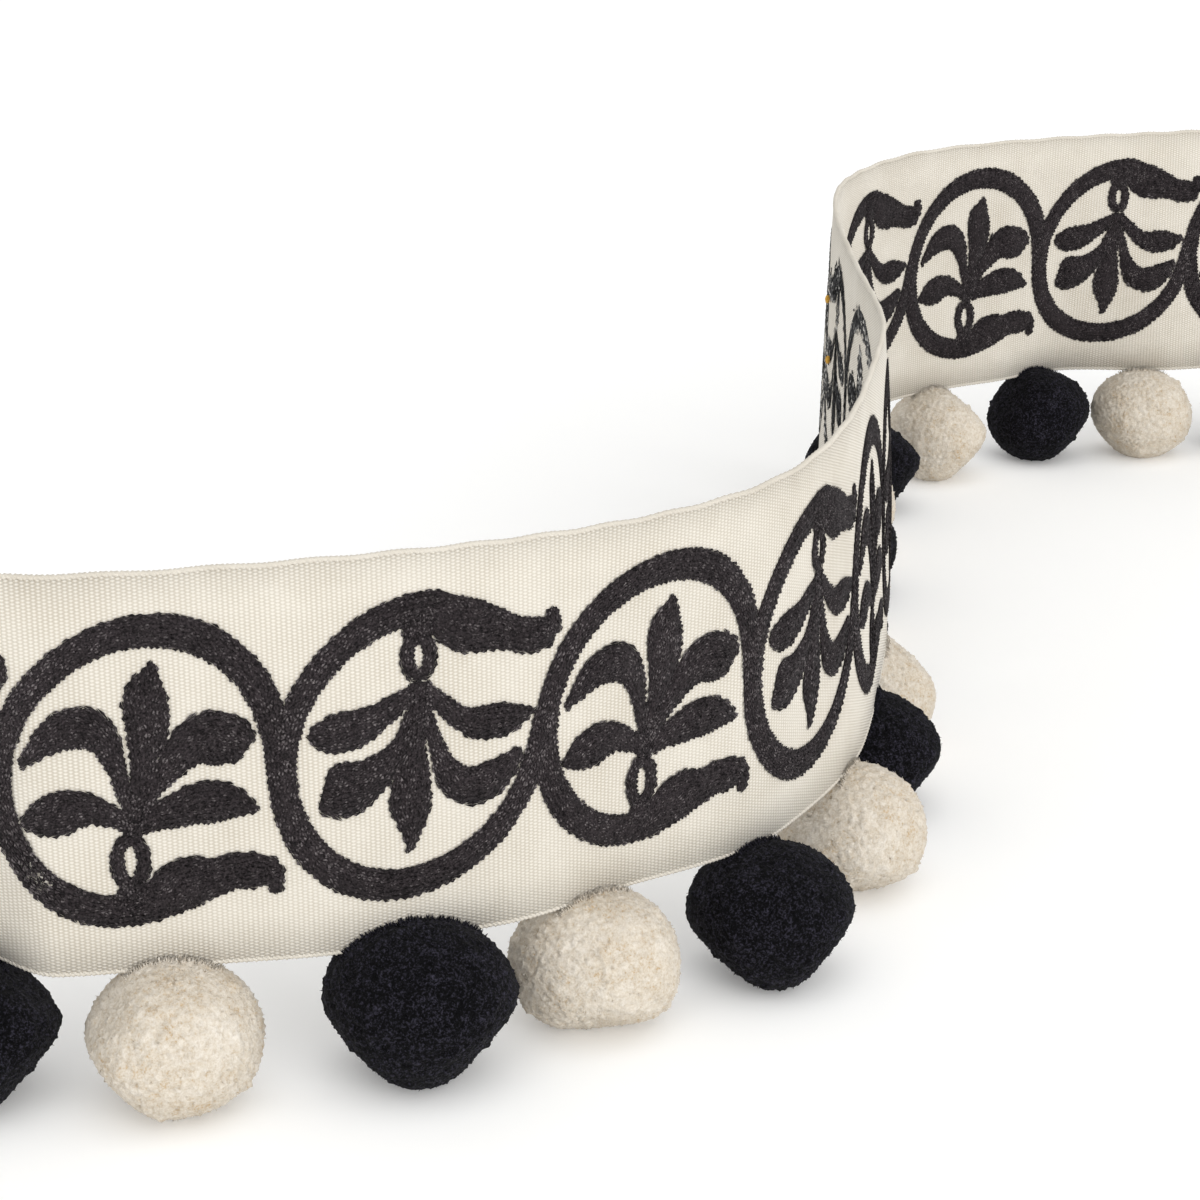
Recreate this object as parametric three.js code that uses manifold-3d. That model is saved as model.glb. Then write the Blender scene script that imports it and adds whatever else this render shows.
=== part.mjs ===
// Pompom braid trim: a cut length of grosgrain tape that stands on edge in a loose S,
// with clipped yarn pompoms sewn along its lower selvedge. Millimetres, +Z up.
// +X runs to the right along the near stretch and +Y runs away from the viewer.
import * as THREE from "three";
import { mergeVertices } from "three/addons/utils/BufferGeometryUtils.js";
import Module from "manifold-3d";

const wasm = await Module();
wasm.setup();

// The tape
const tapeLength = 850;
const tapeWidth = 90;
const tapeThickness = 1.6;
const topHeight = 120.5;
const clearance = 0.3;

// How far apart the tape is shaped along its length and over its width
const stations = 170;
const rows = 4;

// The way the tape runs on the floor: it starts at one heading and each bend turns it.
// at is the middle of the bend, from the left cut end, and reach is how softly it turns.
const firstHeading = -36;
const bends = [
  { at: 40, reach: 110, turn: 58.9 },
  { at: 245.7, reach: 51.8, turn: 57.8 },
  { at: 404.2, reach: 15, turn: 11.4 },
  { at: 641.1, reach: 65.5, turn: -80.1 },
];
const walkStep = 1;

// How the cloth stands, from the left cut end: back is how far the lower edge stands
// behind the upper one, belly is how far the middle bulges to the front, and rise is
// how much the whole width is lifted.
const hang = [
  { at: 0, back: 4, belly: 0, rise: 0 },
  { at: 62, back: 8, belly: 0.5, rise: 0.2 },
  { at: 81, back: -2, belly: 1.2, rise: 0 },
  { at: 114, back: -1, belly: 0.4, rise: 0.3 },
  { at: 140, back: -2, belly: 0.8, rise: 0 },
  { at: 176, back: 0, belly: 0.2, rise: 0.2 },
  { at: 214, back: 5.5, belly: -0.6, rise: -0.2 },
  { at: 262, back: 0.5, belly: 0.3, rise: 0 },
  { at: 318, back: -4.2, belly: 0.8, rise: 0.2 },
  { at: 392, back: -3.4, belly: 1.2, rise: 0.3 },
  { at: 480, back: 1, belly: -0.5, rise: 0 },
  { at: 545, back: 3, belly: -0.3, rise: 0.2 },
  { at: 630, back: 2, belly: 0.4, rise: -0.2 },
  { at: 694, back: -0.5, belly: -0.6, rise: 0.3 },
  { at: 728, back: 6.2, belly: 0.8, rise: 0 },
  { at: 774, back: -5.2, belly: 0, rise: 0.3 },
  { at: 850, back: -3, belly: 0.5, rise: 0 },
];

// The pompoms, from the left cut end: front is how far the ball stands before the tape,
// and wide, deep and tall are its size across, from front to back and in height.
// clips are flat shear cuts, each named for the side that it is on.
const pompoms = [
  { yarn: "cream", at: 22, front: 5, wide: 37, deep: 36, tall: 34.5, clips: ["upperLeft"] },
  { yarn: "navy", at: 60, front: 6, wide: 40, deep: 38, tall: 36, clips: ["lowerRight", "upperRight"] },
  { yarn: "cream", at: 104, front: 3, wide: 39, deep: 36, tall: 34.5, clips: ["lowerLeft", "upperLeft"] },
  { yarn: "navy", at: 157.2, front: 2.5, wide: 42.5, deep: 39, tall: 38, clips: ["lowerLeft", "lowerRight"] },
  { yarn: "cream", at: 202, front: 1, wide: 39, deep: 36, tall: 33.5, clips: ["low"] },
  { yarn: "navy", at: 248.5, front: 6.5, wide: 40, deep: 37, tall: 34, clips: ["lowerLeft", "lowerRight"] },
  { yarn: "cream", at: 301, front: 2, wide: 37.5, deep: 37, tall: 33, clips: ["low", "upperLeft"] },
  { yarn: "navy", at: 350, front: -1, wide: 38.5, deep: 38, tall: 34, clips: ["lowerRight"] },
  { yarn: "cream", at: 395, front: -3.5, wide: 37, deep: 38, tall: 34, clips: ["upperRight"] },
  { yarn: "navy", at: 442, front: -11, wide: 36, deep: 38, tall: 35.5, clips: ["low", "upperLeft"] },
  { yarn: "cream", at: 484, front: -3, wide: 37, deep: 37, tall: 34, clips: ["lowerRight"] },
  { yarn: "navy", at: 523, front: 4.5, wide: 38, deep: 38, tall: 34, clips: ["lowerLeft"] },
  { yarn: "cream", at: 567, front: 7.5, wide: 37, deep: 37, tall: 35, clips: ["upperLeft", "low"] },
  { yarn: "navy", at: 617, front: 7.5, wide: 41, deep: 38, tall: 35, clips: ["lowerRight", "upperRight"] },
  { yarn: "cream", at: 670, front: 4, wide: 37.5, deep: 36, tall: 34, clips: ["upperRight", "lowerRight"] },
  { yarn: "navy", at: 718, front: 5, wide: 37.5, deep: 36, tall: 34.5, clips: ["upperLeft", "lowerRight"] },
  { yarn: "cream", at: 757, front: 5, wide: 37, deep: 36, tall: 33.5, clips: ["lowerLeft"] },
  { yarn: "navy", at: 803, front: 4, wide: 39, deep: 37, tall: 35.5, clips: ["upperRight", "low"] },
];

// How the pompoms are clipped. The shear cuts are as the viewer sees them: across and up
// point to the side of the cut, near turns it to the viewer, and keep is the share of the
// ball's reach that it leaves.
const shearCuts = {
  lowerLeft: { across: -0.72, up: -0.62, near: 0.3, keep: 0.84 },
  lowerRight: { across: 0.76, up: -0.6, near: 0.25, keep: 0.85 },
  upperLeft: { across: -0.74, up: 0.6, near: 0.3, keep: 0.87 },
  upperRight: { across: 0.66, up: 0.7, near: -0.2, keep: 0.86 },
  low: { across: 0.1, up: -0.8, near: 0.6, keep: 0.86 },
};
const shearSharpness = 12;
const floorPress = 1.5;
const lumpShare = 0.013;
const lumpWaves = new THREE.Vector3(4.1, 4.7, 5.3);
const lumpTwist = 2;
const ballDetail = 4;
const locksPerBall = 16;
const lockHeight = 1.5;
const lockBand = 0.72;
const goldenTurn = Math.PI * (3 - Math.sqrt(5));

const tapeColour = 0xe7e0d2;
const yarnColours = { cream: 0xddd2bd, navy: 0x1c1e2b };
const tapeRoughness = 0.9;
const yarnRoughness = 1;

// A column of a table at a place: the row before and the row after, blended softly
function softValue(table, at, column) {
  const next = Math.max(1, table.findIndex((row) => row.at >= at));
  const before = table[next - 1];
  const after = table[next];
  const share = THREE.MathUtils.smoothstep(at, before.at, after.at);
  return THREE.MathUtils.lerp(before[column], after[column], share);
}

function headingAt(at) {
  let heading = firstHeading;
  for (const bend of bends) {
    heading += (bend.turn * (1 + Math.tanh((at - bend.at) / bend.reach))) / 2;
  }
  return THREE.MathUtils.degToRad(heading);
}

// The upper edge walked out on the floor plan, a step at a time
function walkPlan() {
  const points = [new THREE.Vector2(0, 0)];
  for (let at = 0; at < tapeLength; at += walkStep) {
    const heading = headingAt(at + walkStep / 2);
    const step = new THREE.Vector2(Math.cos(heading), Math.sin(heading)).multiplyScalar(walkStep);
    points.push(points[points.length - 1].clone().add(step));
  }
  return points;
}

const plan = walkPlan();

function planPoint(at) {
  const low = Math.min(Math.floor(at / walkStep), plan.length - 2);
  return plan[low].clone().lerp(plan[low + 1], at / walkStep - low);
}

// The level direction that the tape's embroidered face looks in
function frontAt(at) {
  const heading = headingAt(at);
  return new THREE.Vector3(Math.sin(heading), -Math.cos(heading), 0);
}

// A point of the cloth: at along the length, down from the upper edge, proud of the
// middle of the thickness towards the front
function clothPoint(at, down, proud) {
  const middle = planPoint(at);
  const back = softValue(hang, at, "back");
  const belly = softValue(hang, at, "belly");
  const share = down / tapeWidth;
  const out = proud - back * share + belly * Math.sin(Math.PI * share);
  const point = new THREE.Vector3(middle.x, middle.y, 0).addScaledVector(frontAt(at), out);
  const drop = down * Math.sqrt(1 - (back / tapeWidth) ** 2);
  point.z = topHeight + softValue(hang, at, "rise") - drop;
  return point;
}

function indexedGeometry(positions, index) {
  const geometry = new THREE.BufferGeometry();
  geometry.setAttribute("position", new THREE.Float32BufferAttribute(positions, 3));
  geometry.setIndex(index);
  return geometry;
}

// A closed strip of the cloth, grown by a margin on its faces and its lower edge
function clothStrip(margin) {
  const half = tapeThickness / 2 + margin;
  const section = [];
  for (let row = 0; row <= rows; row += 1) {
    section.push({ down: ((tapeWidth + margin) * row) / rows, proud: half });
  }
  for (let row = rows; row >= 0; row -= 1) {
    section.push({ down: ((tapeWidth + margin) * row) / rows, proud: -half });
  }
  const positions = [];
  for (let station = 0; station <= stations; station += 1) {
    const at = (tapeLength * station) / stations;
    for (const place of section) {
      positions.push(...clothPoint(at, place.down, place.proud));
    }
  }
  const count = section.length;
  const index = [];
  for (let station = 0; station < stations; station += 1) {
    for (let side = 0; side < count; side += 1) {
      const here = station * count + side;
      const along = here + count;
      const across = station * count + ((side + 1) % count);
      index.push(here, across, along, across, across + count, along);
    }
  }
  const last = stations * count;
  for (let row = 0; row < rows; row += 1) {
    const back = count - 1 - row;
    index.push(row, back, row + 1, row + 1, back, back - 1);
    index.push(last + row, last + row + 1, last + back, last + row + 1, last + back - 1, last + back);
  }
  return indexedGeometry(positions, index);
}

function toSolid(geometry) {
  const vertProperties = new Float32Array(geometry.attributes.position.array);
  const triVerts = new Uint32Array(geometry.index.array);
  return new wasm.Manifold(new wasm.Mesh({ numProp: 3, vertProperties, triVerts }));
}

function toGeometry(solid) {
  const mesh = solid.getMesh();
  return indexedGeometry(mesh.vertProperties, Array.from(mesh.triVerts));
}

// How far a clipped ball reaches in one direction: an ellipsoid, softly cut by its clips,
// with shallow lumps that differ from ball to ball
function ballReach(direction, pompom, number) {
  const size = new THREE.Vector3(pompom.wide / 2, pompom.deep / 2, pompom.tall / 2);
  const round = direction.clone().divide(size).length();
  let sum = round ** shearSharpness;
  for (const name of pompom.clips) {
    const cut = shearCuts[name];
    const normal = new THREE.Vector3(cut.across, -cut.near, cut.up).normalize();
    const reach = cut.keep * normal.clone().multiply(size).length();
    sum += (Math.max(0, direction.dot(normal)) / reach) ** shearSharpness;
  }
  const wave = direction.clone().multiply(lumpWaves);
  wave.z += lumpTwist * direction.x;
  const lumps = Math.sin(wave.x + number) + Math.sin(wave.y + 2 * number) + Math.sin(wave.z + 3 * number);
  return (1 + lumpShare * lumps) / sum ** (1 / shearSharpness);
}

// The faces of the ball that carry a lock: the nearest to each of a spiral of directions
function lockFaces(faces) {
  const chosen = new Set();
  for (let lock = 0; lock < locksPerBall; lock += 1) {
    const up = lockBand * (1 - (2 * lock + 1) / locksPerBall);
    const level = Math.sqrt(1 - up * up);
    const turn = goldenTurn * lock;
    const aim = new THREE.Vector3(Math.cos(turn) * level, Math.sin(turn) * level, up);
    let best = 0;
    faces.forEach((face, number) => {
      if (face.middle.dot(aim) > faces[best].middle.dot(aim)) best = number;
    });
    chosen.add(best);
  }
  return chosen;
}

// A ball of clipped yarn with raised locks, pressed level where it stands on the floor
function pompomBall(pompom, number) {
  const unit = new THREE.IcosahedronGeometry(1, ballDetail);
  unit.deleteAttribute("normal");
  unit.deleteAttribute("uv");
  const sphere = mergeVertices(unit);
  const middle = planPoint(pompom.at);
  const lowerBack = softValue(hang, pompom.at, "back");
  const centre = new THREE.Vector3(middle.x, middle.y, 0);
  centre.addScaledVector(frontAt(pompom.at), pompom.front - lowerBack);
  centre.z = pompom.tall / 2 - floorPress;
  const points = [];
  for (let vertex = 0; vertex < sphere.attributes.position.count; vertex += 1) {
    const direction = new THREE.Vector3().fromBufferAttribute(sphere.attributes.position, vertex);
    direction.normalize();
    const reach = ballReach(direction, pompom, number);
    const floorReach = direction.z < 0 ? -centre.z / direction.z : Infinity;
    const point = centre.clone().addScaledVector(direction, Math.min(reach, floorReach));
    points.push({ direction, point });
  }
  const faces = [];
  for (let corner = 0; corner < sphere.index.count; corner += 3) {
    const corners = [0, 1, 2].map((step) => sphere.index.getX(corner + step));
    const total = new THREE.Vector3();
    corners.forEach((vertex) => total.add(points[vertex].direction));
    faces.push({ corners, middle: total.normalize() });
  }
  const locks = lockFaces(faces);
  const positions = points.flatMap((place) => place.point.toArray());
  const index = [];
  faces.forEach((face, faceNumber) => {
    const [first, second, third] = face.corners;
    if (!locks.has(faceNumber)) {
      index.push(first, second, third);
      return;
    }
    const tip = new THREE.Vector3();
    face.corners.forEach((vertex) => tip.addScaledVector(points[vertex].point, 1 / 3));
    tip.addScaledVector(face.middle, lockHeight);
    const tipNumber = positions.length / 3;
    positions.push(...tip);
    index.push(first, second, tipNumber, second, third, tipNumber, third, first, tipNumber);
  });
  return indexedGeometry(positions, index);
}

function namedMesh(name, geometry, colour, roughness) {
  const material = new THREE.MeshStandardMaterial({ color: colour, roughness, metalness: 0 });
  const mesh = new THREE.Mesh(geometry, material);
  mesh.name = name;
  return mesh;
}

const trim = new THREE.Group();
trim.add(namedMesh("tape", clothStrip(0), tapeColour, tapeRoughness));

// Each pompom is parted round the tape's lower edge, a clearance away from it
const parting = toSolid(clothStrip(clearance));
pompoms.forEach((pompom, order) => {
  const number = order + 1;
  const ball = toSolid(pompomBall(pompom, number)).subtract(parting);
  const name = `pompom_${String(number).padStart(2, "0")}_${pompom.yarn}`;
  trim.add(namedMesh(name, toGeometry(ball), yarnColours[pompom.yarn], yarnRoughness));
});

// The origin is on the floor, under the middle of the whole trim
const box = new THREE.Box3().setFromObject(trim);
trim.position.set(-(box.min.x + box.max.x) / 2, -(box.min.y + box.max.y) / 2, 0);

export default trim;
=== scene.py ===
# %% [markdown]
# # A braid trim with pompoms
# This lesson dresses a braid trim: an ecru grosgrain tape that stands on its edge in a loose
# S, with a charcoal chain-stitch scroll on its face and clipped yarn pompoms, navy and cream
# by turns, along its lower edge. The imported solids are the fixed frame. Each of them is
# replaced here by a finer piece of the same form, in metres and in the same place.

import math

import bpy
import numpy as np
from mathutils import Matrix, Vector


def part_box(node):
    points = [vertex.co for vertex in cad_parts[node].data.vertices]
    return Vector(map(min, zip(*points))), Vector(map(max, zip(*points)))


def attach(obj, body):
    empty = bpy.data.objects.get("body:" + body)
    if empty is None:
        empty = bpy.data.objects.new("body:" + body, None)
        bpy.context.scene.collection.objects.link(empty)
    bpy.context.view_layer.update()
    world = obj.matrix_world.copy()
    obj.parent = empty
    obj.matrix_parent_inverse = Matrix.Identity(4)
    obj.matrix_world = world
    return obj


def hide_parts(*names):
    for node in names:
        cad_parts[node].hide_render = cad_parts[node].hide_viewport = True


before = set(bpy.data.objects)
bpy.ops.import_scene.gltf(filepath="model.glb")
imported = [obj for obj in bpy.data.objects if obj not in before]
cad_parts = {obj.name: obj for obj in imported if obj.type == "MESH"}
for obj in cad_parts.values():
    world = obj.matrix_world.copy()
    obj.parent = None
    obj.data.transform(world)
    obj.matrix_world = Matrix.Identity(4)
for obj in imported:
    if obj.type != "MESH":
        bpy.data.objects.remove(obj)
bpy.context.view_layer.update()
MM = 0.001

# %% [markdown]
# ## The camera
# The trim was seen from a little above, with a long lens, so that the near stretch fills the
# lower left and the far stretch runs out at the upper right. The place, pitch and lens here
# were worked out from the known width of the tape at several places along it.

# %% Camera
CAMERA_PLACE = (-0.0490, -0.7904, 0.3086)
CAMERA_PITCH = math.radians(19.648)
LENS = 85.1


def deselect_all():
    for obj in list(bpy.context.selected_objects):
        obj.select_set(False)


deselect_all()
bpy.ops.object.camera_add(location=CAMERA_PLACE, rotation=(math.pi / 2 - CAMERA_PITCH, 0, 0))
camera = bpy.context.object
camera.data.lens = LENS
bpy.context.scene.camera = camera
print("camera", camera.name, "lens", LENS)

# %% [markdown]
# ## Colours and nodes
# A colour is written as the sRGB hex value that a colour picker shows. Shaders work in linear
# light, so one function turns it. A second function adds a shader node with its settings and
# its links, which keeps each material short enough to read as a recipe.

# %% Colour and node helpers
def linear(hex_colour):
    shares = [int(hex_colour[place:place + 2], 16) / 255 for place in (1, 3, 5)]
    return [((s + 0.055) / 1.055) ** 2.4 if s > 0.04045 else s / 12.92 for s in shares] + [1.0]


def add_node(tree, kind, settings=None, links=None):
    node = tree.nodes.new(kind)
    for key, value in (settings or {}).items():
        if isinstance(key, str) and hasattr(node, key):
            setattr(node, key, value)
        else:
            node.inputs[key].default_value = value
    for key, source in (links or {}).items():
        tree.links.new(source, node.inputs[key])
    return node


def new_material(name):
    material = bpy.data.materials.new(name)
    material.use_nodes = True
    material.node_tree.nodes.clear()
    return material, material.node_tree


def finish_material(tree, shader_settings, shader_links):
    shader = add_node(tree, "ShaderNodeBsdfPrincipled", shader_settings, shader_links)
    add_node(tree, "ShaderNodeOutputMaterial", None, {"Surface": shader.outputs["BSDF"]})


def dress(pieces, material):
    for piece in pieces:
        piece.data.materials.clear()
        piece.data.materials.append(material)


# %% [markdown]
# ## The floor and the light
# The trim stands on white paper under big soft lamps, so its shadows are short and pale. The
# sky light is a plain white world. A very soft sun stands for the wide lamp overhead: it makes
# the paper as bright far away as near by, and brighter than the standing cloth. Two wide
# lamps in front light the face of the cloth, and the paper glows a little, as on a table lit
# from below, so that the cloth is nearly as bright below as above.

# %% Floor and light
FLOOR_SIDE = 16.0
WORLD_STRENGTH = 0.76
OVERHEAD_STRENGTH = 0.72
OVERHEAD_SOFTNESS = math.radians(75)
OVERHEAD_TILT = (math.radians(20), math.radians(16), 0)
PAPER_GLOW = 0.13
# place in metres and power in watts
LOW_LAMPS = [(Vector((2.4, -3.0, 0.7)), 84.0), (Vector((-2.8, -2.6, 0.7)), 32.0)]
LAMP_SIDE = 2.6
LAMP_AIM = Vector((0.0, 0.0, 0.05))

bpy.context.scene.view_settings.view_transform = "Standard"
world = bpy.data.worlds.new("white_studio")
bpy.context.scene.world = world
world.use_nodes = True
world.node_tree.nodes["Background"].inputs["Color"].default_value = (1, 1, 1, 1)
world.node_tree.nodes["Background"].inputs["Strength"].default_value = WORLD_STRENGTH

deselect_all()
bpy.ops.mesh.primitive_plane_add(size=FLOOR_SIDE)
floor = bpy.context.object
floor.name = "paper_floor"
paper, paper_tree = new_material("matt_white_paper")
finish_material(
    paper_tree,
    {"Base Color": linear("#F4F4F3"), "Roughness": 0.9, "Emission Color": (1, 1, 1, 1),
     "Emission Strength": PAPER_GLOW}, {})
dress([floor], paper)

bpy.ops.object.light_add(type="SUN", location=(0, 0, 1.5), rotation=OVERHEAD_TILT)
overhead = bpy.context.object
overhead.data.energy = OVERHEAD_STRENGTH
overhead.data.angle = OVERHEAD_SOFTNESS

for place, power in LOW_LAMPS:
    turn = (LAMP_AIM - place).to_track_quat("-Z", "Y").to_euler()
    bpy.ops.object.light_add(type="AREA", location=place, rotation=turn)
    lamp = bpy.context.object
    lamp.data.size = LAMP_SIDE
    lamp.data.energy = power
print("overhead light", OVERHEAD_STRENGTH, "and", len(LOW_LAMPS), "low lamps")

# %% [markdown]
# ## How the tape stands
# A tape like this is stiff across its width and springy along it, so it stands on its edge in
# smooth bends. Its way over the floor is a walk: a first heading, and four soft turns. At each
# place the cloth also leans, bulges and lifts a little. The solids were made from the same
# short tables, so whatever is laid out flat here lands where the solid tape is.

# %% Tables of the standing tape
TAPE_LENGTH = 850.0
TAPE_WIDTH = 90.0
SOLID_THICKNESS = 1.6
TOP_HEIGHT = 120.5
FIRST_HEADING = -36.0
# at, reach, turn in degrees
BENDS = [(40, 110, 58.9), (245.7, 51.8, 57.8), (404.2, 15, 11.4), (641.1, 65.5, -80.1)]
# at, back, belly, rise in millimetres
HANG = np.array([
    (0, 4, 0, 0), (62, 8, 0.5, 0.2), (81, -2, 1.2, 0), (114, -1, 0.4, 0.3), (140, -2, 0.8, 0),
    (176, 0, 0.2, 0.2), (214, 5.5, -0.6, -0.2), (262, 0.5, 0.3, 0), (318, -4.2, 0.8, 0.2),
    (392, -3.4, 1.2, 0.3), (480, 1, -0.5, 0), (545, 3, -0.3, 0.2), (630, 2, 0.4, -0.2),
    (694, -0.5, -0.6, 0.3), (728, 6.2, 0.8, 0), (774, -5.2, 0, 0.3), (850, -3, 0.5, 0),
])
BACK, BELLY, RISE = 1, 2, 3


def soft_value(at, column):
    places = HANG[:, 0]
    after = np.clip(np.searchsorted(places, at), 1, len(places) - 1)
    share = np.clip((at - places[after - 1]) / (places[after] - places[after - 1]), 0, 1)
    share = share * share * (3 - 2 * share)
    return HANG[after - 1, column] * (1 - share) + HANG[after, column] * share


def heading_at(at):
    turned = sum(turn * (1 + np.tanh((at - middle) / reach)) / 2 for middle, reach, turn in BENDS)
    return np.radians(FIRST_HEADING + turned)


walk_marks = np.arange(TAPE_LENGTH + 1)
step_headings = heading_at(walk_marks[:-1] + 0.5)
walk_x = np.concatenate([[0], np.cumsum(np.cos(step_headings))])
walk_y = np.concatenate([[0], np.cumsum(np.sin(step_headings))])
print("the walk ends", round(walk_x[-1]), "mm to the right and", round(walk_y[-1]), "mm back")

# %% [markdown]
# ## From flat to standing
# Everything on the tape is first laid out flat, as on an embroiderer's table: x along the
# tape from its left cut end, y up to the upper edge at zero, z proud of the cloth's middle.
# One function then stands any flat point up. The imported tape's own corner says where the walk
# starts, so nothing is fitted by eye.

# %% Stand flat points up
def stand(flat):
    """Flat points in millimetres, as rows of x, y, z, become standing points in millimetres."""
    at, down, proud = flat[:, 0], -flat[:, 1], flat[:, 2]
    heading = heading_at(at)
    back = soft_value(at, BACK)
    share = down / TAPE_WIDTH
    out = proud - back * share + soft_value(at, BELLY) * np.sin(np.pi * share)
    x = np.interp(at, walk_marks, walk_x) + out * np.sin(heading)
    y = np.interp(at, walk_marks, walk_y) - out * np.cos(heading)
    z = TOP_HEIGHT + soft_value(at, RISE) - down * np.sqrt(1 - (back / TAPE_WIDTH) ** 2)
    return np.stack([x, y, z], axis=1)


SOLID_STATIONS, SOLID_ROWS = 170, 4
solid_grid = np.array([
    (TAPE_LENGTH * station / SOLID_STATIONS, -TAPE_WIDTH * row / SOLID_ROWS,
     side * SOLID_THICKNESS / 2)
    for station in range(SOLID_STATIONS + 1) for row in range(SOLID_ROWS + 1) for side in (-1, 1)
])
WALK_START = np.array(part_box("tape")[0]) / MM - stand(solid_grid).min(axis=0)
print("the walk starts at", WALK_START.round(2), "mm")

# %% [markdown]
# ## Small mesh helpers
# NumPy moves many vertices at once, which is how flat pieces are stood up and pile is ruffled.
# An operator acts on all that is selected, so a piece is always made the only selected one
# before a modifier is applied to it.

# %% Mesh helpers
def make_active(obj):
    deselect_all()
    obj.select_set(True)
    bpy.context.view_layer.objects.active = obj


def apply_modifier(obj, kind, settings):
    make_active(obj)
    modifier = obj.modifiers.new(kind.lower(), kind)
    for key, value in settings.items():
        setattr(modifier, key, value)
    bpy.ops.object.modifier_apply(modifier=modifier.name)


def get_points(obj):
    flat = np.empty(len(obj.data.vertices) * 3)
    obj.data.vertices.foreach_get("co", flat)
    return flat.reshape(-1, 3)


def set_points(obj, points):
    obj.data.vertices.foreach_set("co", points.astype(np.float32).ravel())
    obj.data.update()


def stand_up(obj, flat):
    set_points(obj, (stand(flat) + WALK_START) * MM)


def get_triangles(obj):
    make_active(obj)
    bpy.ops.object.mode_set(mode="EDIT")
    bpy.ops.mesh.select_all(action="SELECT")
    bpy.ops.mesh.quads_convert_to_tris()
    bpy.ops.object.mode_set(mode="OBJECT")
    corners = np.empty(len(obj.data.loops), dtype=int)
    obj.data.loops.foreach_get("vertex_index", corners)
    return corners.reshape(-1, 3)


def keep_values(mesh, name, values):
    """Keeps one number on each vertex, which a material reads by its name."""
    kept = mesh.attributes.new(name, "FLOAT", "POINT")
    kept.data.foreach_set("value", values.astype(np.float32))


def new_piece(name, points, triangles, tones):
    """A mesh piece from standing points in millimetres, with a tone for each point."""
    mesh = bpy.data.meshes.new(name)
    mesh.from_pydata(((points + WALK_START) * MM).tolist(), [], triangles.tolist())
    keep_values(mesh, "tone", tones)
    obj = bpy.data.objects.new(name, mesh)
    bpy.context.scene.collection.objects.link(obj)
    make_active(obj)
    bpy.ops.object.shade_smooth()
    return obj


def report(obj):
    count = sum(len(face.vertices) - 2 for face in obj.data.polygons)
    print(obj.name, count, "triangles")


# %% [markdown]
# ## The grosgrain tape
# Grosgrain is a plain weave with thick cords running from edge to edge under the warp, so its
# face is ribbed across its width. It could be a smooth strip with ribs only in the bump map,
# but the ribs catch the light even from a step away, so each of the 796 ribs is in the mesh:
# three vertices for each rib, one on its crest and two in its flanks. A flat grid is given its
# thickness with Solidify, ribbed on both faces, and then stood up.

# %% Weave the tape
RIB_COUNT = 796
RIB_PITCH = TAPE_LENGTH / RIB_COUNT
RIB_HEIGHT = 0.07
CLOTH_THICKNESS = 0.9
EDGE_CORD = 0.75
GRID_ROWS = 8
RIPPLE = 0.18
RIPPLE_DEPTH = 12


def edge_ripple(x):
    """The upper edge was never cut straight: it waves a little, in millimetres."""
    return RIPPLE * np.sin(x / 2.9 + 2 * np.sin(x / 31.0)) + RIPPLE * np.sin(x / 11.7 + 2)


deselect_all()
bpy.ops.mesh.primitive_grid_add(x_subdivisions=3 * RIB_COUNT, y_subdivisions=GRID_ROWS, size=1)
tape = bpy.context.object
tape.name = "grosgrain_tape"
bpy.ops.object.mode_set(mode="EDIT")
bpy.ops.mesh.select_all(action="SELECT")
bpy.ops.transform.resize(value=(TAPE_LENGTH, TAPE_WIDTH - 2 * EDGE_CORD, 1))
bpy.ops.transform.translate(value=(TAPE_LENGTH / 2, -TAPE_WIDTH / 2, 0))
bpy.ops.object.mode_set(mode="OBJECT")
apply_modifier(tape, "SOLIDIFY", {"thickness": CLOTH_THICKNESS, "offset": 0})
woven = get_points(tape)
woven[:, 2] += np.sign(woven[:, 2]) * RIB_HEIGHT * np.cos(2 * np.pi * woven[:, 0] / RIB_PITCH)
woven[:, 1] += edge_ripple(woven[:, 0]) * np.clip(1 + woven[:, 1] / RIPPLE_DEPTH, 0, 1)

corner_vertices = np.empty(len(tape.data.loops), dtype=int)
tape.data.loops.foreach_get("vertex_index", corner_vertices)
measured = woven[corner_vertices][:, :2] * (MM, -MM)
tape.data.uv_layers.active.name = "along_and_down_in_metres"
tape.data.uv_layers.active.data.foreach_set("uv", measured.astype(np.float32).ravel())
stand_up(tape, woven)
make_active(tape)
bpy.ops.object.shade_smooth()
report(tape)

# %% [markdown]
# ## The two selvedges
# The weft turns round at each edge and is bound there in a fine twisted cord. It could be left
# out at this size, but it gives the edge its rope-like outline against the white paper. One
# turn of the twist, two ribs long, is modelled as a six-sided tube with two lobes, an Array
# modifier repeats it along the edge, and it is stood up as the tape was.

# %% Twist the selvedges
CORD_TURN = 2 * RIB_PITCH
CORD_RADIUS = 0.8
CORD_FLATNESS = 0.66
CORD_STEPS = 5
cord_turns = round(TAPE_LENGTH / CORD_TURN)


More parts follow.
